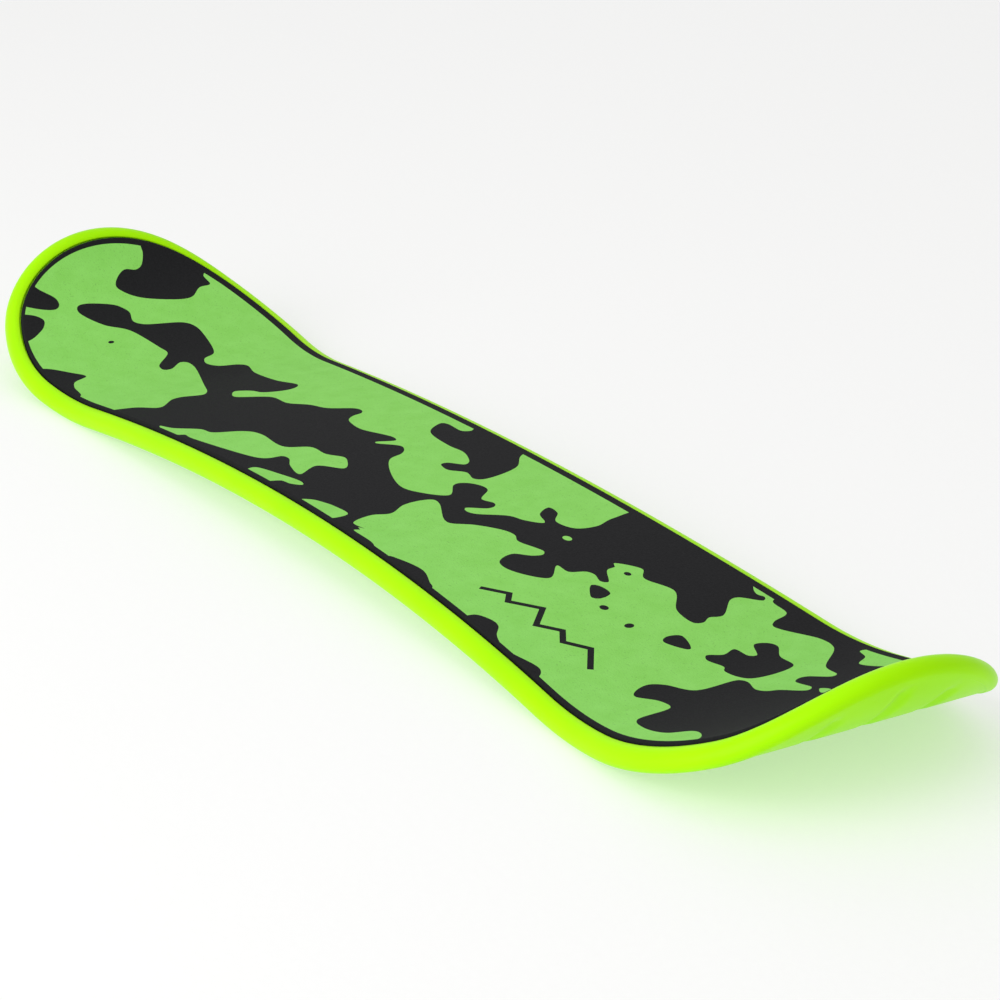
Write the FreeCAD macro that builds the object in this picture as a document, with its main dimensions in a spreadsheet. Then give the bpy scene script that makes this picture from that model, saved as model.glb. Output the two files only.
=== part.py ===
import FreeCAD, Part
import math
import os

# Snow board to stand on, without bindings: a blow-moulded plastic body with a rounded
# rim, and a foam grip pad held by a sheet of adhesive in the recess on its top.
#
# Frame, in millimetres: X runs along the board to the nose, Y across it, Z up.
# The origin is the middle of the pad's top face. Two curves place everything else:
#   the deck line, in the XZ plane, where the pad's top face lies: a long camber arc
#   in the middle, and towards each tip a kick arc and a tighter curl arc;
#   the pad outline, on the unrolled deck: a sidecut arc, a shoulder arc and a tip arc.
# A place on the unrolled deck is a run (along the deck line), a side (across it)
# and a rise (square off the deck). A place on the rim is an out (square off the pad
# outline, away from the pad) and a rise.

doc = FreeCAD.newDocument("SnowBoard")
sheet = doc.addObject("Spreadsheet::Sheet", "Sizes")

SIZES = [
    # pad outline on the unrolled deck
    ("pad_length", 900.0),
    ("pad_width", 182.0),
    ("sidecut_depth", 12.2),
    ("widest_from_tip", 115.2),
    ("shoulder_radius", 166.0),
    # deck line
    ("camber_run", 530.0),
    ("camber_radius", 2490.0),
    ("kick_run", 135.0),
    ("kick_radius", 241.0),
    ("curl_radius", 87.5),
    # grip pad and the adhesive under it
    ("pad_thickness", 4.0),
    ("pad_bevel", 1.5),
    ("adhesive_thickness", 0.2),
    ("adhesive_inset", 0.5),
    # rim of the body
    ("rim_gap", 1.0),
    ("rim_drop", 2.0),
    ("edge_radius", 0.8),
    ("rim_flat", 0.6),
    ("roll_radius", 7.4),
    ("keel_radius", 4.8),
    ("rim_depth", 14.5),
    ("rim_foot", 1.5),
    # plate inside the rim, its walls, and the channels moulded into its underside
    ("base_lift", 0.5),
    ("plate_overlap", 4.5),
    ("wall", 2.4),
    ("channel_width", 14.0),
    ("channel_depth", 2.2),
    ("channel_pitch", 35.0),
    ("channel_inset", 2.0),
]
for row, (alias, value) in enumerate(SIZES, start=1):
    sheet.set(f"A{row}", alias)
    sheet.set(f"B{row}", str(value))
    sheet.setAlias(f"B{row}", alias)
doc.recompute()

# stations along a quarter of the outline, for each of its three arcs
STATION_COUNTS = (6, 10, 16)
# blanks and trimming walls reach this far past what they make
MARGIN = 20.0


def size(alias):
    return float(sheet.get(alias))


# ---- the deck line ---------------------------------------------------------------

HALF_RUN = size("pad_length") / 2
KICK_START = size("camber_run") / 2
CURL_START = KICK_START + size("kick_run")


def deck_arcs():
    """The arcs of half a deck line: start run, radius, and slope, along and height there.

    A slope is in radians, outwards from the middle. The camber arc bends down, so its
    radius counts backwards.
    """
    arcs = []
    slope = along = height = 0.0
    for start, end, radius in ((0.0, KICK_START, -size("camber_radius")),
                               (KICK_START, CURL_START, size("kick_radius")),
                               (CURL_START, HALF_RUN, size("curl_radius"))):
        arcs.append((start, radius, slope, along, height))
        next_slope = slope + (end - start) / radius
        along += radius * (math.sin(next_slope) - math.sin(slope))
        height -= radius * (math.cos(next_slope) - math.cos(slope))
        slope = next_slope
    return arcs


DECK_ARCS = deck_arcs()


def deck_arc(run):
    """The deck line's arc at a run of 0 or more."""
    return next(arc for arc in DECK_ARCS[::-1] if run > arc[0] or arc is DECK_ARCS[0])


def deck_slope(run):
    """Slope of the deck line in radians, outwards from the middle, for a run of 0 or more."""
    start, radius, slope, _, _ = deck_arc(run)
    return slope + (run - start) / radius


def on_deck(run, side, rise):
    """Point of the frame for a place on the unrolled deck."""
    slope = deck_slope(abs(run))
    _, radius, start_slope, start_along, start_height = deck_arc(abs(run))
    along = start_along + radius * (math.sin(slope) - math.sin(start_slope))
    height = start_height - radius * (math.cos(slope) - math.cos(start_slope))
    along -= rise * math.sin(slope)
    height += rise * math.cos(slope)
    return FreeCAD.Vector(math.copysign(along, run), side, height)


def deck_band(top, bottom, half_run, half_side, middle_side=0.0):
    """Solid that follows the deck line between two rises, with square sides and ends."""
    near = middle_side - half_side

    def arcs(rise, stops):
        return [Part.Arc(on_deck(first, near, rise), on_deck((first + last) / 2, near, rise),
                         on_deck(last, near, rise)).toShape()
                for first, last in zip(stops, stops[1:])]

    changes = [run for run in (KICK_START, CURL_START) if run < half_run]
    stops = [-half_run] + [-run for run in reversed(changes)] + changes + [half_run]
    nose_end = Part.makeLine(on_deck(half_run, near, top), on_deck(half_run, near, bottom))
    tail_end = Part.makeLine(on_deck(-half_run, near, bottom), on_deck(-half_run, near, top))
    edges = arcs(top, stops) + [nose_end] + arcs(bottom, stops[::-1]) + [tail_end]
    return Part.Face(Part.Wire(edges)).extrude(FreeCAD.Vector(0, 2 * half_side, 0))


# ---- the pad outline -------------------------------------------------------------

def outline_arcs():
    """The arcs of a quarter outline: centre (run, side), radius, and first and last turn.

    A turn is the angle of the outward direction, from straight across towards the nose.
    The sidecut's centre is outside the board, so its radius counts backwards.
    """
    widest = size("pad_width") / 2
    depth = size("sidecut_depth")
    shoulder = size("shoulder_radius")
    to_tip = size("widest_from_tip")
    shoulder_run = HALF_RUN - to_tip
    shoulder_side = widest - shoulder
    # radii that make the neighbours meet the shoulder arc smoothly
    sidecut = (shoulder_run ** 2 + depth ** 2) / (2 * depth) - shoulder
    tip = (shoulder ** 2 - to_tip ** 2 - shoulder_side ** 2) / (2 * (shoulder - to_tip))
    sidecut_side = widest - depth + sidecut
    sidecut_end = -math.atan2(shoulder_run, sidecut_side - shoulder_side)
    shoulder_end = math.atan2(HALF_RUN - tip - shoulder_run, -shoulder_side)
    return (
        (0.0, sidecut_side, -sidecut, 0.0, sidecut_end),
        (shoulder_run, shoulder_side, shoulder, sidecut_end, shoulder_end),
        (HALF_RUN - tip, 0.0, tip, shoulder_end, math.pi / 2),
    )


def outline_stations():
    """Stations along one side of the outline from tail tip to nose tip: run, side and turn."""
    nose = []
    for (run, side, radius, first, last), count in zip(outline_arcs(), STATION_COUNTS):
        for step in range(count):
            turn = first + (last - first) * step / count
            nose.append((run + radius * math.sin(turn), side + radius * math.cos(turn), turn))
    nose.append((HALF_RUN, 0.0, math.pi / 2))
    tail = [(-run, side, -turn) for run, side, turn in nose[:0:-1]]
    return tail + nose


def at_rim(station, out, rise):
    """Point of the frame for a place in the rim's section at a station."""
    run, side, turn = station
    slope = math.copysign(1.0, run) * deck_slope(abs(run))
    along = FreeCAD.Vector(math.cos(slope), 0, math.sin(slope)) * math.sin(turn)
    across = FreeCAD.Vector(0, math.cos(turn), 0)
    return on_deck(run, side, rise) + (along + across) * out


def both_sides(half):
    """A shape made along one side of the outline, and its mirror image on the other side."""
    return half, half.mirror(FreeCAD.Vector(0, 0, 0), FreeCAD.Vector(0, 1, 0))


# ---- the rim ---------------------------------------------------------------------

def rim_section(station):
    """Closed outline of the rim: inner wall, edge, flat, roll, outer wall, keel and foot."""
    gap, edge, flat, roll, keel, foot = (size(alias) for alias in (
        "rim_gap", "edge_radius", "rim_flat", "roll_radius", "keel_radius", "rim_foot"))
    top = -size("rim_drop")
    roll_start = gap + edge + flat
    outer = roll_start + roll
    underside = -size("rim_depth")
    keel_rise = underside + keel

    def place(out, rise):
        return at_rim(station, out, rise)

    def line(first, last):
        return Part.makeLine(place(*first), place(*last))

    def quarter(out, rise, radius, first_turn):
        """Quarter arc around a place, clockwise from a turn in eighths of a circle."""
        turns = [math.pi / 4 * (first_turn - step) for step in range(3)]
        return Part.Arc(*(place(out + radius * math.cos(turn), rise + radius * math.sin(turn))
                          for turn in turns)).toShape()

    return Part.Wire([
        line((gap, underside + foot), (gap, top - edge)),
        quarter(gap + edge, top - edge, edge, 4),
        line((gap + edge, top), (roll_start, top)),
        quarter(roll_start, top - roll, roll, 2),
        line((outer, top - roll), (outer, keel_rise)),
        quarter(outer - keel, keel_rise, keel, 0),
        line((outer - keel, underside), (gap + foot, underside)),
        line((gap + foot, underside), (gap, underside + foot)),
    ])


def rim_halves():
    """The rim's two halves, ruled from the section at each station to the next."""
    sections = [rim_section(station) for station in outline_stations()]
    return both_sides(Part.makeLoft(sections, True, True))


# ---- layers trimmed to the outline -----------------------------------------------

def trimming_walls(low_out, low_rise, high_out, high_rise):
    """Two wall faces that follow the outline, ruled between two places in its section."""
    stations = outline_stations()
    points = [at_rim(station, 0.0, 0.0) for station in stations]
    lengths = [0.0]
    for first, last in zip(points, points[1:]):
        lengths.append(lengths[-1] + first.distanceToPoint(last))
    edges = []
    for out, rise in ((low_out, low_rise), (high_out, high_rise)):
        curve = Part.BSplineCurve()
        curve.interpolate(Points=[at_rim(station, out, rise) for station in stations],
                          Parameters=lengths)
        edges.append(curve.toShape())
    return both_sides(Part.makeRuledSurface(*edges))


def trimmed(blank, walls, inside):
    """The solid that the walls leave of a blank around a point inside it."""
    pieces = blank.generalFuse(list(walls))[0].Solids
    return next(piece for piece in pieces if piece.isInside(inside, 0.001, False))


def layer(top, bottom, out, bevel=0.0):
    """Layer between two rises, trimmed to the pad outline plus out.

    A bevel cuts its upper edge off at 45 degrees.
    """
    inside = on_deck(0.0, 0.0, (top + bottom) / 2)
    half_side = size("pad_width") / 2 + MARGIN
    blank = deck_band(top, bottom, HALF_RUN + MARGIN, half_side)
    shape = trimmed(blank, trimming_walls(out, -MARGIN, out, MARGIN), inside)
    if bevel:
        slant = trimming_walls(out + MARGIN, top - bevel - MARGIN, out - bevel - MARGIN, top + MARGIN)
        shape = trimmed(shape, slant, inside)
    return shape


def channel(middle_side):
    """Bar that presses one channel, with round ends, into the base."""
    run, _, tip, _, _ = outline_arcs()[-1]
    half_width = size("channel_width") / 2
    half_run = run + math.sqrt(tip ** 2 - (abs(middle_side) + half_width) ** 2)
    half_run -= size("channel_inset")
    bar = deck_band(CHANNEL_TOP, BASE - size("channel_depth"), half_run, half_width, middle_side)
    short = [edge for edge in bar.Edges if edge.Length < 2.5 * size("channel_depth")]
    return bar.makeFillet(0.98 * half_width, short)


# ---- document objects ------------------------------------------------------------

def solid(name, shape):
    """Object that holds a solid worked out from the sheet's sizes."""
    item = doc.addObject("Part::Feature", name)
    item.Shape = shape
    return item


def joined(name, pieces):
    item = doc.addObject("Part::MultiFuse", name)
    item.Shapes = pieces
    return item


def cut(name, base, tool):
    item = doc.addObject("Part::Cut", name)
    item.Base = base
    item.Tool = tool
    return item


PAD_BOTTOM = -size("pad_thickness")
RECESS_FLOOR = PAD_BOTTOM - size("adhesive_thickness")
BASE = size("base_lift") - size("rim_depth")
CHANNEL_TOP = BASE + size("channel_depth")
LANES = {"left": 1, "middle": 0, "right": -1}

# the pad and its adhesive
grip_pad = solid("grip_pad", layer(0.0, PAD_BOTTOM, 0.0, size("pad_bevel")))
pad_adhesive = solid("pad_adhesive", layer(PAD_BOTTOM, RECESS_FLOOR, -size("adhesive_inset")))

# the body's outside: a plate in a rim, with the channels pressed into the base
plate = solid("plate", layer(RECESS_FLOOR, BASE, size("rim_gap") + size("plate_overlap")))
rims = [solid(f"rim_{side}", half) for side, half in zip(("left", "right"), rim_halves())]
moulding = joined("moulding", [plate] + rims)
channels = joined("channels", [solid(f"channel_{name}", channel(lane * size("channel_pitch")))
                               for name, lane in LANES.items()])
outside = cut("outside", moulding, channels)

# the air inside the body, parted by a rib of plastic over each channel
air = solid("air", layer(RECESS_FLOOR - size("wall"), BASE + size("wall"),
                         size("rim_gap") - size("wall")))
ribs = []
for name, lane in LANES.items():
    rib = doc.addObject("Part::Box", f"rib_{name}")
    rib.setExpression("Length", "Sizes.pad_length + 100")
    rib.setExpression("Width", "Sizes.channel_width + 2 * Sizes.wall")
    rib.setExpression("Height", "Sizes.kick_radius")
    rib.setExpression("Placement.Base.x", "-Length / 2")
    rib.setExpression("Placement.Base.y",
                      f"({lane} * Sizes.channel_pitch) * 1 mm - Width / 2")
    rib.setExpression("Placement.Base.z", "-Height / 2")
    ribs.append(rib)
hollows = cut("hollows", air, joined("ribs", ribs))

board_body = cut("board_body", outside, hollows)

PARTS = (board_body, grip_pad, pad_adhesive)

# ---- checks and STEP files -------------------------------------------------------

doc.recompute()
for item in doc.Objects:
    if "Invalid" in item.State or "Error" in item.State:
        raise RuntimeError(f"{item.Label} did not compute: {item.State}")
    if hasattr(item, "Shape") and (item.Shape.isNull() or not item.Shape.isValid()):
        raise RuntimeError(f"{item.Label} has no valid shape")
for item in PARTS:
    item.Label = item.Name
    if len(item.Shape.Solids) != 1:
        raise RuntimeError(f"{item.Label} is not one solid")

os.makedirs("parts", exist_ok=True)
for item in PARTS:
    item.Shape.exportStep(f"parts/{item.Label}.step")
    print(f"{item.Label}: {item.Shape.Volume / 1000:.1f} cm3")
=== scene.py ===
import math

import bpy
import numpy as np
from mathutils import Matrix, Vector
from mathutils.geometry import delaunay_2d_cdt


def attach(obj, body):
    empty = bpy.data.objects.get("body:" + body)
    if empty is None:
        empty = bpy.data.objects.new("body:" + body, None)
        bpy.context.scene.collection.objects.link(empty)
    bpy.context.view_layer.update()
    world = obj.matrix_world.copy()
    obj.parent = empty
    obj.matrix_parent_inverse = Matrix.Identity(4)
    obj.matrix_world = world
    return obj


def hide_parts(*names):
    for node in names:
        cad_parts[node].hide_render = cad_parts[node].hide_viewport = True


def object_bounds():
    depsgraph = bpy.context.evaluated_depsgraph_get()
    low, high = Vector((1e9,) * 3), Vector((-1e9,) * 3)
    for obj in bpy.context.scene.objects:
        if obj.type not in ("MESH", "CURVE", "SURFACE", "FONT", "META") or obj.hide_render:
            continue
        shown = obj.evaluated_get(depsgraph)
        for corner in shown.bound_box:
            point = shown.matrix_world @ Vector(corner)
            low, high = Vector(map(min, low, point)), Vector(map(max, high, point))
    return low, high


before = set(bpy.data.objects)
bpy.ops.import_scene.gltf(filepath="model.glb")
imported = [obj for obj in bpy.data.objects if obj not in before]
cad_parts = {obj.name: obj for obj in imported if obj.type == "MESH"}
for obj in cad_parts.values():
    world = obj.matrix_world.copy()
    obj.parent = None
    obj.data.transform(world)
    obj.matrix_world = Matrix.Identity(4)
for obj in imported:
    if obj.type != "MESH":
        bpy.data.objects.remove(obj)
cad_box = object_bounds()

# Snow board to stand on: a blow-moulded body, a foam grip pad in the recess on its top
# and the adhesive sheet between them. Sizes are in millimetres until a mesh is made.
# A place on the unrolled deck is a run (along it), a side (across it) and a rise.

MM = 0.001

# deck line and pad outline, as in the part's source
HALF_LENGTH = 450.0
HALF_WIDTH = 91.0
SIDECUT_DEPTH = 12.2
WIDEST_FROM_TIP = 115.2
SHOULDER_RADIUS = 166.0
KICK_START = 265.0
CURL_START = 400.0
CAMBER_RADIUS = 2490.0
KICK_RADIUS = 241.0
CURL_RADIUS = 87.5

# the pad, its recess, and the rim's section
PAD_THICKNESS = 4.0
PAD_EDGE_RADIUS = 1.5
RECESS_DEPTH = 4.2
RIM_GAP = 1.0
RIM_DROP = 2.0
RIM_EDGE_RADIUS = 0.8
RIM_FLAT = 0.6
ROLL_RADIUS = 7.4
KEEL_RADIUS = 4.8
RIM_DEPTH = 14.5
RIM_FOOT = 1.5
BASE_RISE = -14.0

# grooves pressed into the base: middle side, and how far each runs towards a tip
GROOVE_HALF_WIDTH = 7.0
GROOVE_DEPTH = 2.2
GROOVES = ((0.0, 449.0), (35.0, 438.0), (-35.0, 438.0))

# plain foam left between the print and the pad's edge, and how the print lies on the pad
PRINT_MARGIN = 4.2
PRINT_ALONG = 3.0
PRINT_ACROSS = 2.3
PRINT_SKEW = 0.053
PRINT_SHRINK = 0.974

# fineness of the meshes: stations along each arc of a quarter outline, the spacing of grids
# along and across the deck, how far they stay off a ring, and the steps of a smooth curve
STATION_COUNTS = (64, 32, 40)
HIDDEN_GRID = (9.0, 12.0)
BASE_GRID = (5.0, 1.75)
PRINT_GRID = (4.0, 6.0)
GRID_INSET = 1.5
MERGE_DISTANCE = 1e-5
CURVE_STEP = 1.5
DOT_POINTS = 16


# ---- shapes of the deck ------------------------------------------------------------

def deck_arcs():
    """The arcs of half a deck line: start run, radius, and slope, along and height there.

    The camber arc bends down, so its radius counts backwards.
    """
    arcs = []
    slope = along = height = 0.0
    for start, end, radius in ((0.0, KICK_START, -CAMBER_RADIUS),
                               (KICK_START, CURL_START, KICK_RADIUS),
                               (CURL_START, HALF_LENGTH, CURL_RADIUS)):
        arcs.append((start, radius, slope, along, height))
        next_slope = slope + (end - start) / radius
        along += radius * (math.sin(next_slope) - math.sin(slope))
        height -= radius * (math.cos(next_slope) - math.cos(slope))
        slope = next_slope
    return np.array(arcs)


DECK_ARCS = deck_arcs()


def deck_slope(run):
    """Slope of the deck line at runs along it, in radians, rising towards the nose."""
    start, radius, slope = DECK_ARCS[np.searchsorted(DECK_ARCS[1:, 0], np.abs(run)), :3].T
    return np.sign(run) * (slope + (np.abs(run) - start) / radius)


def on_deck(run, side, rise):
    """Points of the frame for places on the unrolled deck."""
    run, side, rise = np.broadcast_arrays(np.asarray(run, float), side, rise)
    arc_index = np.searchsorted(DECK_ARCS[1:, 0], np.abs(run))
    _, radius, start_slope, along, height = DECK_ARCS[arc_index].T
    slope = np.sign(run) * deck_slope(run)
    along = along + radius * (np.sin(slope) - np.sin(start_slope)) - rise * np.sin(slope)
    height = height - radius * (np.cos(slope) - np.cos(start_slope)) + rise * np.cos(slope)
    return np.stack([np.sign(run) * along, side, height], axis=-1)


def outline_quarter():
    """Stations from the waist to the nose tip: run, side, and the outward direction."""
    shoulder_run = HALF_LENGTH - WIDEST_FROM_TIP
    shoulder_side = HALF_WIDTH - SHOULDER_RADIUS
    sidecut = (shoulder_run ** 2 + SIDECUT_DEPTH ** 2) / (2 * SIDECUT_DEPTH) - SHOULDER_RADIUS
    tip = ((SHOULDER_RADIUS ** 2 - WIDEST_FROM_TIP ** 2 - shoulder_side ** 2)
           / (2 * (SHOULDER_RADIUS - WIDEST_FROM_TIP)))
    sidecut_side = HALF_WIDTH - SIDECUT_DEPTH + sidecut
    sidecut_end = -math.atan2(shoulder_run, sidecut_side - shoulder_side)
    shoulder_end = math.atan2(HALF_LENGTH - tip - shoulder_run, -shoulder_side)
    arcs = ((0.0, sidecut_side, -sidecut, 0.0, sidecut_end),
            (shoulder_run, shoulder_side, SHOULDER_RADIUS, sidecut_end, shoulder_end),
            (HALF_LENGTH - tip, 0.0, tip, shoulder_end, math.pi / 2))
    stations = []
    for (run, side, radius, first, last), count in zip(arcs, STATION_COUNTS):
        for turn in np.linspace(first, last, count, endpoint=False):
            away = (math.sin(turn), math.cos(turn))
            stations.append((run + radius * away[0], side + radius * away[1], *away))
    stations.append((HALF_LENGTH, 0.0, 1.0, 0.0))
    return np.array(stations)


def outline():
    """Stations all round the pad outline, anticlockwise from the nose tip."""
    quarter = outline_quarter()
    to_tail = quarter * (-1, 1, -1, 1)
    left = np.vstack([quarter[::-1], to_tail[1:]])
    right = (left * (1, -1, 1, -1))[::-1]
    return np.vstack([left, right[1:-1]])


RING = outline()


def at_rim(out, rise):
    """Points of the frame all round the rim, at an out from the outline and a rise."""
    run, side, away_run, away_side = RING.T
    slope = deck_slope(run)
    sideways = np.stack([away_run * np.cos(slope), away_side, away_run * np.sin(slope)], axis=-1)
    return on_deck(run, side, rise) + out * sideways


def ring_on_sheet(out):
    """The outline grown by out, flat on the unrolled deck."""
    return RING[:, :2] + out * RING[:, 2:]


def arc(out, rise, radius, first, last, count):
    """Places in the rim's section along an arc, between two turns in degrees."""
    turns = np.radians(np.linspace(first, last, count))
    return [(out + radius * math.cos(turn), rise + radius * math.sin(turn)) for turn in turns]


def inside(points, loop):
    """Which of the flat points lie inside a closed loop."""
    result = np.zeros(len(points), bool)
    across, up = points[:, 0], points[:, 1]
    for (x1, y1), (x2, y2) in zip(loop, np.roll(loop, -1, axis=0)):
        if y1 != y2:
            crosses = (y1 > up) != (y2 > up)
            result ^= crosses & (across < x1 + (up - y1) * (x2 - x1) / (y2 - y1))
    return result


def grid_within(out, spacing):
    """Evenly spread places on the sheet, inside the outline grown by out."""
    runs = np.arange(-HALF_LENGTH, HALF_LENGTH + 1, spacing[0])
    sides = np.arange(-HALF_WIDTH - 10, HALF_WIDTH + 10, spacing[1])
    places = np.stack(np.meshgrid(runs, sides, indexing="ij"), axis=-1).reshape(-1, 2)
    return places[inside(places, ring_on_sheet(out))]


def sheet(out, spacing, lines=()):
    """Triangles that fill the outline grown by out, with edges along some closed lines.

    Returns flat places, whose first ones are the ring's stations in order, and triangles.
    """
    ring = ring_on_sheet(out)
    loops = [ring] + [np.asarray(line, float) for line in lines]
    edges, start = [], 0
    for loop in loops:
        edges += [(start + i, start + (i + 1) % len(loop)) for i in range(len(loop))]
        start += len(loop)
    # grid places stay a little off the ring, so no triangle there is a sliver
    places = np.vstack(loops + [grid_within(out - GRID_INSET, spacing)])
    flat, _, triangles, origins, _, _ = delaunay_2d_cdt(
        [tuple(place) for place in places], edges, [], 0, MERGE_DISTANCE)
    flat = np.array([tuple(place) for place in flat])
    triangles = np.array(triangles)
    kept = triangles[inside(flat[triangles].mean(axis=1), ring)]
    # the ring's own places first, in station order, then the rest that are used
    first_use = {}
    for index, sources in enumerate(origins):
        for source in sources:
            first_use[source] = index
    order = [first_use[i] for i in range(len(ring))]
    taken = set(order)
    order += [index for index in np.unique(kept) if index not in taken]
    position = np.full(len(flat), -1)
    position[order] = np.arange(len(order))
    return flat[order], position[kept]


def build(name, rings, first_sheet, last_sheet, sheet_heights, sharp_angle):
    """Closed mesh from rings of points, capped by one sheet at each end."""
    count = len(RING)
    vertices = [np.asarray(ring) for ring in rings]
    faces = []
    for level in range(len(rings) - 1):
        low, high = level * count, (level + 1) * count
        faces += [(low + i, low + (i + 1) % count, high + (i + 1) % count, high + i)
                  for i in range(count)]
    total = len(rings) * count
    for (places, triangles), height, level, flip in (
            (first_sheet, sheet_heights[0], 0, False),
            (last_sheet, sheet_heights[1], len(rings) - 1, True)):
        within = places[count:]
        vertices.append(on_deck(within[:, 0], within[:, 1], height(within)))
        shift = np.where(np.arange(len(places)) < count, level * count, total - count)
        corners = triangles + shift[triangles]
        faces += [tuple(corner[::-1] if flip else corner) for corner in corners]
        total += len(within)
    mesh = bpy.data.meshes.new(name)
    mesh.from_pydata(np.vstack(vertices) * MM, [], [tuple(map(int, face)) for face in faces])
    mesh.update()
    mesh.polygons.foreach_set("use_smooth", [True] * len(mesh.polygons))
    mesh.set_sharp_from_angle(angle=math.radians(sharp_angle))
    piece = bpy.data.objects.new(name, mesh)
    bpy.context.scene.collection.objects.link(piece)
    return piece


# ---- materials -----------------------------------------------------------------------

def srgb(code):
    """Linear colour from an sRGB hex value."""
    channels = [int(code[i:i + 2], 16) / 255 for i in (1, 3, 5)]
    linear = [c / 12.92 if c <= 0.04045 else ((c + 0.055) / 1.055) ** 2.4 for c in channels]
    return (*linear, 1.0)


def per_metre(size_mm):
    """Texture scale that makes a pattern's repeat this many millimetres."""
    return 1000.0 / size_mm


def add(tree, kind, inputs=None, **settings):
    """Adds a node with its settings, and sets or links its inputs."""
    node = tree.nodes.new(kind)
    for name, value in settings.items():
        setattr(node, name, value)
    for name, value in (inputs or {}).items():
        if isinstance(value, bpy.types.NodeSocket):
            tree.links.new(value, node.inputs[name])
        else:
            node.inputs[name].default_value = value
    return node


def new_material(name):
    """Empty material, its node tree, and the place that its patterns are laid out in."""
    material = bpy.data.materials.new(name)
    material.use_nodes = True
    tree = material.node_tree
    tree.nodes.clear()
    return material, tree, add(tree, "ShaderNodeTexCoord").outputs["Object"]


def finish_with(tree, **inputs):
    """Joins a surface shader with these inputs to the material's output."""
    named = {name.replace("_", " "): value for name, value in inputs.items()}
    shader = add(tree, "ShaderNodeBsdfPrincipled", named)
    add(tree, "ShaderNodeOutputMaterial", {"Surface": shader.outputs["BSDF"]})


def moulded_hdpe():
    """Blow-moulded high-density polyethylene: satin, slightly waxy, with a faint orange peel."""
    material, tree, place = new_material("blow_moulded_hdpe_lime")
    # pigment that mixed unevenly in the melt gives slow drifts of the lime
    drift = add(tree, "ShaderNodeTexNoise", {"Vector": place, "Scale": per_metre(70),
                                             "Detail": 3.0, "Roughness": 0.5})
    colour = add(tree, "ShaderNodeValToRGB", {"Fac": drift.outputs["Fac"]})
    colour.color_ramp.elements[0].position = 0.3
    colour.color_ramp.elements[0].color = srgb("#A6F200")
    colour.color_ramp.elements[1].position = 0.7
    colour.color_ramp.elements[1].color = srgb("#AEF800")
    # orange peel where the hot skin met the mould, drawn at 2.5 mm
    peel = add(tree, "ShaderNodeTexNoise", {"Vector": place, "Scale": per_metre(2.5),
                                            "Detail": 2.0, "Roughness": 0.4})
    # the mould's fine blasted grain, drawn at 0.6 mm so that it shows
    grain = add(tree, "ShaderNodeTexNoise", {"Vector": place, "Scale": per_metre(0.6),
                                             "Detail": 1.0})
    fine = add(tree, "ShaderNodeBump", {"Height": grain.outputs["Fac"], "Strength": 0.12,
                                        "Distance": 0.00005})
    bump = add(tree, "ShaderNodeBump", {"Height": peel.outputs["Fac"], "Strength": 0.2,
                                        "Distance": 0.0001, "Normal": fine.outputs["Normal"]})
    gloss = add(tree, "ShaderNodeMapRange", {"Value": drift.outputs["Fac"],
                                             "To Min": 0.3, "To Max": 0.38})
    finish_with(tree, Base_Color=colour.outputs["Color"], Roughness=gloss.outputs["Result"],
                IOR=1.54, Specular_IOR_Level=0.06, Subsurface_Weight=0.12,
                Subsurface_Radius=(0.004, 0.006, 0.001), Subsurface_Scale=1.0,
                Normal=bump.outputs["Normal"])
    return material


def foam_cells(tree, place, strength):
    """The skived foam's open surface: round cells about 0.9 mm wide and a soft unevenness."""
    cells = add(tree, "ShaderNodeTexVoronoi", {"Vector": place, "Scale": per_metre(0.9)})
    waves = add(tree, "ShaderNodeTexNoise", {"Vector": place, "Scale": per_metre(7),
                                             "Detail": 2.0})
    soft = add(tree, "ShaderNodeBump", {"Height": waves.outputs["Fac"], "Strength": 0.15,
                                        "Distance": 0.0003})
    bump = add(tree, "ShaderNodeBump", {"Height": cells.outputs["Distance"],
                                        "Strength": strength, "Distance": 0.0002,
                                        "Normal": soft.outputs["Normal"]})
    return bump.outputs["Normal"]


def eva_foam():
    """Closed-cell EVA, skived: matte charcoal with a fine cell grain."""
    material, tree, place = new_material("skived_eva_foam_black")
    normal = foam_cells(tree, place, 0.5)
    grain = add(tree, "ShaderNodeTexNoise", {"Vector": place, "Scale": per_metre(1.4),
                                             "Detail": 4.0, "Roughness": 0.7})
    colour = add(tree, "ShaderNodeValToRGB", {"Fac": grain.outputs["Fac"]})
    colour.color_ramp.elements[0].position = 0.25
    colour.color_ramp.elements[0].color = srgb("#101012")
    colour.color_ramp.elements[1].position = 0.8
    colour.color_ramp.elements[1].color = srgb("#202022")
    finish_with(tree, Base_Color=colour.outputs["Color"], Roughness=0.86, IOR=1.45,
                Specular_IOR_Level=0.22, Normal=normal)
    return material


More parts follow.
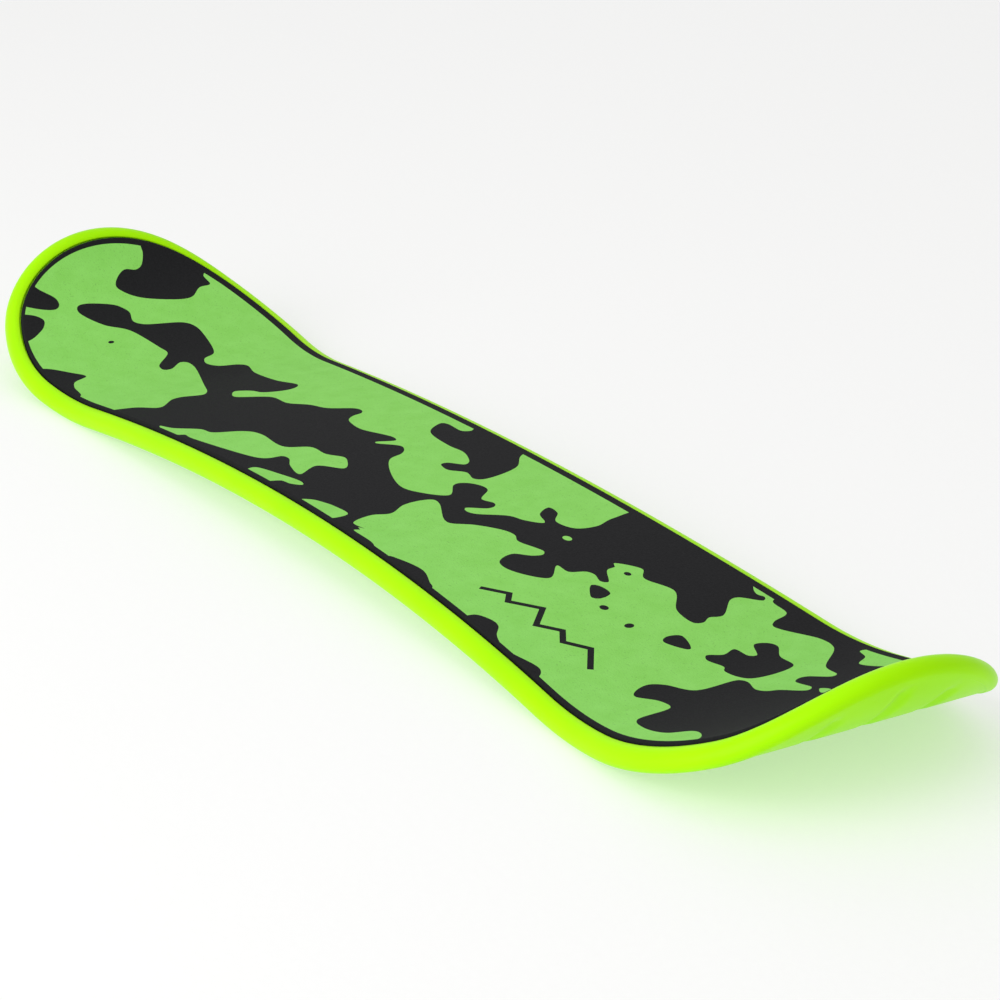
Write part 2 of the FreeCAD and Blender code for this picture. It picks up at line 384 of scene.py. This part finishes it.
def printed_ink():
    """Screen-printed ink soaked into the foam: matte green, thin over the cell edges."""
    material, tree, place = new_material("screen_printed_ink_green")
    normal = foam_cells(tree, place, 0.35)
    # how thickly the ink sits, in patches a centimetre or so wide
    cover = add(tree, "ShaderNodeTexNoise", {"Vector": place, "Scale": per_metre(14),
                                             "Detail": 5.0, "Roughness": 0.65})
    colour = add(tree, "ShaderNodeValToRGB", {"Fac": cover.outputs["Fac"]})
    colour.color_ramp.elements[0].position = 0.3
    colour.color_ramp.elements[0].color = srgb("#87D35A")
    colour.color_ramp.elements[1].position = 0.7
    colour.color_ramp.elements[1].color = srgb("#90DB66")
    # pinholes where the ink missed a cell, drawn at about a millimetre
    speck = add(tree, "ShaderNodeTexNoise", {"Vector": place, "Scale": per_metre(1.1),
                                             "Detail": 2.0})
    missed = add(tree, "ShaderNodeMapRange", {"Value": speck.outputs["Fac"], "From Min": 0.6,
                                              "From Max": 0.74, "To Max": 0.35})
    worn = add(tree, "ShaderNodeMix", {0: missed.outputs["Result"], 6: colour.outputs["Color"],
                                       7: srgb("#57813F")}, data_type="RGBA")
    finish_with(tree, Base_Color=worn.outputs[2], Roughness=0.8, IOR=1.48,
                Specular_IOR_Level=0.3, Normal=normal)
    return material


def acrylic_adhesive():
    """Acrylic adhesive sheet: milky film with a soft, slightly tacky shine."""
    material, tree, place = new_material("acrylic_adhesive_film")
    # streaks from the coating knife, 3 mm apart
    streaks = add(tree, "ShaderNodeTexNoise", {"Vector": place, "Scale": per_metre(3),
                                               "Detail": 2.0})
    colour = add(tree, "ShaderNodeValToRGB", {"Fac": streaks.outputs["Fac"]})
    colour.color_ramp.elements[0].color = srgb("#C9C8BE")
    colour.color_ramp.elements[1].color = srgb("#E2E1D8")
    bump = add(tree, "ShaderNodeBump", {"Height": streaks.outputs["Fac"], "Strength": 0.2,
                                        "Distance": 0.0001})
    finish_with(tree, Base_Color=colour.outputs["Color"], Roughness=0.45, IOR=1.47,
                Normal=bump.outputs["Normal"])
    return material


def studio_floor():
    """Opal acrylic light table, glowing a little from below, with a faint matte texture."""
    material, tree, place = new_material("opal_acrylic_light_table")
    frost = add(tree, "ShaderNodeTexNoise", {"Vector": place, "Scale": per_metre(4),
                                              "Detail": 3.0})
    colour = add(tree, "ShaderNodeValToRGB", {"Fac": frost.outputs["Fac"]})
    colour.color_ramp.elements[0].color = srgb("#CECECD")
    colour.color_ramp.elements[1].color = srgb("#D4D4D3")
    finish_with(tree, Base_Color=colour.outputs["Color"], Roughness=0.9,
                Emission_Color=srgb("#FFFFFF"), Emission_Strength=0.36)
    return material


# ---- board body ------------------------------------------------------------------------

roll_start = RIM_GAP + RIM_EDGE_RADIUS + RIM_FLAT
rim_outer = roll_start + ROLL_RADIUS
keel_rise = KEEL_RADIUS - RIM_DEPTH
foot_out = RIM_GAP + RIM_FOOT
base_out = foot_out - (RIM_DEPTH + BASE_RISE)

RIM_SECTION = (
    [(RIM_GAP, -RECESS_DEPTH)]
    + arc(RIM_GAP + RIM_EDGE_RADIUS, -RIM_DROP - RIM_EDGE_RADIUS, RIM_EDGE_RADIUS, 180, 90, 6)
    + arc(roll_start, -RIM_DROP - ROLL_RADIUS, ROLL_RADIUS, 90, 0, 15)
    + arc(rim_outer - KEEL_RADIUS, keel_rise, KEEL_RADIUS, 0, -90, 10)
    + [(foot_out, -RIM_DEPTH), (base_out, BASE_RISE)]
)


def base_height(places):
    """Rise of the base: flat but for the soft grooves, which fade out at both ends."""
    rise = np.full(len(places), BASE_RISE)
    for middle, reach in GROOVES:
        beyond = np.maximum(np.abs(places[:, 0]) - (reach - GROOVE_HALF_WIDTH), 0)
        away = np.hypot(places[:, 1] - middle, beyond)
        bowl = 0.5 + 0.5 * np.cos(math.pi * np.minimum(away / GROOVE_HALF_WIDTH, 1))
        rise += GROOVE_DEPTH * bowl
    return rise


board = build("board", [at_rim(*place) for place in RIM_SECTION],
              sheet(RIM_GAP, HIDDEN_GRID), sheet(base_out, BASE_GRID),
              (lambda places: -RECESS_DEPTH, base_height), sharp_angle=40)
board.data.materials.append(moulded_hdpe())
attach(board, "root")
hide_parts("board_body")


# ---- grip pad and its print ------------------------------------------------------------

def smooth_loop(points):
    """Closed smooth curve through points on the sheet."""
    points = np.array(points, float)
    before, after, beyond = (np.roll(points, shift, axis=0) for shift in (1, -1, -2))
    curve = []
    for p0, p1, p2, p3 in zip(before, points, after, beyond):
        # knots spaced by the root of each length keep tight turns from looping
        knots = np.cumsum([0.0] + [max(np.hypot(*(b - a)), 1e-6) ** 0.5
                                   for a, b in ((p0, p1), (p1, p2), (p2, p3))])
        count = max(2, int(np.hypot(*(p2 - p1)) / CURVE_STEP))
        for knot in np.linspace(knots[1], knots[2], count, endpoint=False):
            level = [p0, p1, p2, p3]
            for reach in (1, 2):
                level = [((knots[i + reach] - knot) * level[i] + (knot - knots[i]) * level[i + 1])
                         / (knots[i + reach] - knots[i]) for i in range(len(level) - 1)]
            curve.append(((knots[2] - knot) * level[0] + (knot - knots[1]) * level[1])
                         / (knots[2] - knots[1]))
    return np.array(curve)


def dot(run, side, half_length, half_width):
    """Small oval."""
    turns = np.linspace(0, 2 * math.pi, DOT_POINTS, endpoint=False)
    return np.stack([run + half_length * np.cos(turns), side + half_width * np.sin(turns)],
                    axis=-1)


def stroke(points, width):
    """Outline of a line of even width along points."""
    points = np.array(points, float)
    along = np.diff(points, axis=0)
    along /= np.hypot(*along.T)[:, None]
    square = np.stack([-along[:, 1], along[:, 0]], axis=-1)
    first, last = np.vstack([square[:1], square]), np.vstack([square, square[-1:]])
    mitre = (first + last) / (1 + (first * last).sum(axis=1))[:, None] * width / 2
    return np.vstack([points + mitre, (points - mitre)[::-1]])


def laid_on_pad(drawing):
    """Places on the sheet for points of the print's drawing, which lies a little askew."""
    run, side = np.array(drawing, float).T
    return np.stack([run - PRINT_SKEW * side + PRINT_ALONG, PRINT_SHRINK * side - PRINT_ACROSS],
                    axis=-1)


# patches of bare foam in the print, in the print's own drawing
BARE_PATCHES = (
    [(-406, -29), (-399, -9), (-395, -5), (-389, -2), (-379, -4), (-374, 1), (-366, 30),
     (-360, 35), (-350, 36), (-321, 29), (-316, 19), (-308, 16), (-300, 21), (-295, 34),
     (-290, 38), (-272, 34), (-242, 34), (-222, 39), (-217, 35), (-215, 28), (-217, 19),
     (-222, 11), (-230, 8), (-237, -1), (-232, -6), (-225, -8), (-207, 10), (-187, 11),
     (-174, 20), (-160, 25), (-147, 39), (-141, 40), (-136, 37), (-134, 29), (-129, 23),
     (-120, 20), (-107, 19), (-81, 27), (-75, 25), (-80, 13), (-78, 12), (-64, 22), (-57,
     20), (-52, 15), (-47, 3), (-4, -16), (10, -12), (24, 1), (12, 12), (11, 16), (15, 22),
     (24, 26), (30, 25), (40, 14), (49, 17), (53, 15), (54, 10), (46, -2), (50, -4), (56,
     -2), (70, 14), (80, 18), (89, 26), (77, 31), (72, 41), (81, 41), (91, 33), (105, 37),
     (109, 50), (105, 64), (107, 100), (214, 100), (216, 84), (226, 78), (231, 80), (234,
     77), (224, 66), (224, 61), (237, 45), (235, 37), (238, 31), (236, 26), (220, 26), (200,
     39), (179, 33), (170, 39), (166, 38), (155, 29), (159, 27), (160, 21), (173, 12), (170,
     9), (161, 11), (156, 9), (151, 0), (141, -1), (152, -14), (132, -28), (120, -27), (115,
     -15), (123, -6), (125, 0), (122, 3), (102, -2), (95, 1), (87, 0), (70, -11), (60, -22),
     (54, -22), (31, -11), (25, -11), (22, -17), (22, -30), (29, -44), (25, -55), (29, -70),
     (40, -69), (36, -71), (40, -72), (38, -75), (65, -78), (65, -104), (-250, -104), (-249,
     -72), (-237, -60), (-237, -56), (-249, -42), (-250, -35), (-245, -21), (-249, -16),
     (-265, -9), (-308, 6), (-316, 5), (-318, 1), (-311, -10), (-312, -15), (-319, -15),
     (-335, 0), (-342, -1), (-370, -11), (-382, -26), (-400, -37), (-405, -35)],
    [(-64, 77), (-62, 74), (-65, 69), (-82, 69), (-86, 67), (-80, 55), (-72, 50), (-47, 47),
     (-32, 48), (-22, 45), (-15, 41), (-13, 37), (-22, 29), (-22, 25), (-17, 23), (-11, 23),
     (-1, 30), (10, 28), (14, 32), (9, 60), (-7, 76), (-7, 100), (-64, 100)],
    [(-412, 71), (-408, 67), (-399, 68), (-398, 59), (-391, 50), (-390, 44), (-394, 28),
     (-401, 12), (-408, 4), (-415, 0), (-422, 4), (-427, 12), (-425, 20), (-427, 25), (-436,
     30), (-444, 31), (-455, 45), (-435, 80)],
    [(-428, -57), (-416, -47), (-410, -47), (-407, -50), (-407, -55), (-415, -71), (-425,
     -82), (-442, -64)],
    [(-408, -74), (-404, -67), (-399, -64), (-394, -66), (-389, -71), (-382, -86), (-395,
     -104), (-412, -88)],
    [(-348, -88), (-336, -74), (-327, -67), (-322, -78), (-315, -82), (-298, -86), (-298,
     -104), (-350, -104)],
    [(237, 100), (237, 81), (252, 79), (256, 67), (260, 63), (285, 77), (297, 76), (317,
     54), (331, 50), (332, 46), (322, 37), (321, 32), (324, 27), (339, 26), (342, 21), (329,
     12), (325, 6), (319, 4), (307, 8), (302, 6), (299, -21), (284, -30), (279, -37), (280,
     -45), (284, -51), (287, -52), (299, -45), (310, -46), (313, -70), (325, -75), (344,
     -74), (356, -65), (378, -77), (392, -104), (470, -104), (470, 104)],
    [(274, 49), (279, 51), (290, 44), (304, 42), (304, 12), (288, 7), (284, 10), (272, 7),
     (268, 10), (272, 19), (270, 28), (280, 30), (282, 34), (271, 41)],
    [(244, 11), (258, 7), (258, 5), (245, -2), (242, 0), (241, 5)],
    [(171, 2), (174, 5), (185, 5), (187, -4), (184, -7), (179, -5)],
    [(80, -78), (86, -75), (107, -71), (122, -76), (129, -79), (129, -104), (80, -104)],
    [(167, -80), (169, -75), (180, -71), (186, -72), (195, -79), (210, -83), (237, -79),
     (244, -86), (244, -104), (167, -104)],
)
# small bare dots: middle run and side, half length and half width
BARE_DOTS = ((197, -8, 3.0, 2.5), (221, -8, 2.5, 3.0), (170, 28, 2.5, 2.0),
             (-362, -30, 1.6, 2.2))

# islands of print inside the bare patches
INK_ISLANDS = (
    [(-197, -79), (-187, -75), (-172, -62), (-162, -60), (-152, -44), (-146, -39), (-137,
     -37), (-107, -38), (-96, -25), (-79, -24), (-67, -18), (-60, -20), (-50, -28), (-64,
     -40), (-57, -56), (-74, -53), (-86, -47), (-92, -48), (-94, -57), (-99, -62), (-160,
     -76), (-169, -76), (-171, -79), (-185, -82)],
    [(-85, -75), (-84, -72), (-65, -66), (-44, -62), (-40, -64), (-46, -69), (-54, -71),
     (-60, -80), (-82, -80)],
    [(-21, -80), (-16, -72), (-7, -68), (1, -66), (16, -66), (14, -80)],
    [(310, 84), (312, 89), (342, 89), (344, 80), (326, 70), (319, 80)],
    [(345, 27), (350, 29), (356, 26), (354, 21)],
)
INK_DOTS = ((114, 25, 3.5, 2.5),)

# a plain line of hills in bare foam, printed where a maker would put a name
RIDGE_WIDTH = 3.5
RIDGE = [(148, -56), (162, -46), (170, -52), (186, -40), (201, -54), (213, -45), (224, -52),
         (237, -43), (256, -56)]

bare = ([laid_on_pad(smooth_loop(patch)) for patch in BARE_PATCHES]
        + [laid_on_pad(dot(*spot)) for spot in BARE_DOTS] + [stroke(RIDGE, RIDGE_WIDTH)])
islands = ([laid_on_pad(smooth_loop(patch)) for patch in INK_ISLANDS]
           + [laid_on_pad(dot(*spot)) for spot in INK_DOTS])
print_edge = ring_on_sheet(-PRINT_MARGIN) - (0, PRINT_ACROSS)

PAD_SECTION = ([(0.0, -PAD_THICKNESS)]
               + arc(-PAD_EDGE_RADIUS, -PAD_EDGE_RADIUS, PAD_EDGE_RADIUS, 0, 90, 7))

top_places, top_triangles = sheet(-PAD_EDGE_RADIUS, PRINT_GRID, [print_edge] + bare + islands)
pad = build("foam_grip_pad", [at_rim(*place) for place in PAD_SECTION[::-1]],
            (top_places, top_triangles), sheet(0.0, HIDDEN_GRID),
            (lambda places: 0.0, lambda places: -PAD_THICKNESS), sharp_angle=50)
pad.data.materials.append(eva_foam())
pad.data.materials.append(printed_ink())

centres = top_places[top_triangles].mean(axis=1)
inked = inside(centres, print_edge)
for patch in bare:
    inked &= ~inside(centres, patch)
for patch in islands:
    inked |= inside(centres, patch) & inside(centres, print_edge)
finish = np.zeros(len(pad.data.polygons), np.int32)
walls = (len(PAD_SECTION) - 1) * len(RING)
finish[walls:walls + len(top_triangles)] = inked
pad.data.polygons.foreach_set("material_index", finish)
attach(pad, "root")
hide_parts("grip_pad")

# the adhesive keeps its own solid
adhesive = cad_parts["pad_adhesive"]
adhesive.data.materials.clear()
adhesive.data.materials.append(acrylic_adhesive())


# ---- studio ------------------------------------------------------------------------------

FLOOR_REACH = 6.0

# the board stands on its lowest point
floor_height = min(cad_box[0][2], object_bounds()[0][2])
floor_corners = [(FLOOR_REACH * x, FLOOR_REACH * y, 0)
                 for x, y in ((-1, -1), (1, -1), (1, 1), (-1, 1))]
floor_mesh = bpy.data.meshes.new("floor")
floor_mesh.from_pydata(floor_corners, [], [(0, 1, 2, 3)])
floor = bpy.data.objects.new("floor", floor_mesh)
floor.location = (0, 0, floor_height)
floor_mesh.materials.append(studio_floor())
bpy.context.scene.collection.objects.link(floor)


def soft_light(name, place, breadth, watts):
    """Square soft box that faces the middle of the board."""
    lamp = bpy.data.lights.new(name, "AREA")
    lamp.size = breadth
    lamp.energy = watts
    holder = bpy.data.objects.new(name, lamp)
    holder.location = place
    holder.rotation_euler = Vector(place).to_track_quat("Z", "Y").to_euler()
    bpy.context.scene.collection.objects.link(holder)


soft_light("overhead_box", (0.2, -0.3, 2.0), breadth=2.0, watts=4)
soft_light("side_box", (0.2, -2.1, 0.9), breadth=2.0, watts=29)
soft_light("back_box", (-1.6, 1.2, 1.4), breadth=1.2, watts=2)

# even light from all round the room
ROOM_LIGHT = 0.66
world = bpy.data.worlds.new("studio")
bpy.context.scene.world = world
world.use_nodes = True
world.node_tree.nodes["Background"].inputs["Color"].default_value = srgb("#FFFFFF")
world.node_tree.nodes["Background"].inputs["Strength"].default_value = ROOM_LIGHT
bpy.context.scene.view_settings.view_transform = "Standard"

# camera: turned round from the board's right side, raised over it, and moved a little aside
CAMERA_TURN = math.radians(57.65)
CAMERA_RISE = math.radians(20.64)
CAMERA_DISTANCE = 1915.0
CAMERA_ASIDE = 42.7
CAMERA_DOWN = 11.3
SENSOR = 36.0
LENS = 117.6

right = np.array([math.cos(CAMERA_TURN), math.sin(CAMERA_TURN), 0])
back = np.array([math.sin(CAMERA_TURN) * math.cos(CAMERA_RISE),
                 -math.cos(CAMERA_TURN) * math.cos(CAMERA_RISE), math.sin(CAMERA_RISE)])
up = np.cross(back, right)
stand = (CAMERA_ASIDE * right - CAMERA_DOWN * up + CAMERA_DISTANCE * back) * MM
camera_data = bpy.data.cameras.new("camera")
camera_data.sensor_width = SENSOR
camera_data.lens = LENS
camera = bpy.data.objects.new("camera", camera_data)
pose = np.eye(4)
pose[:3, 0], pose[:3, 1], pose[:3, 2], pose[:3, 3] = right, up, back, stand
camera.matrix_world = Matrix(pose.tolist())
bpy.context.scene.collection.objects.link(camera)
bpy.context.scene.camera = camera
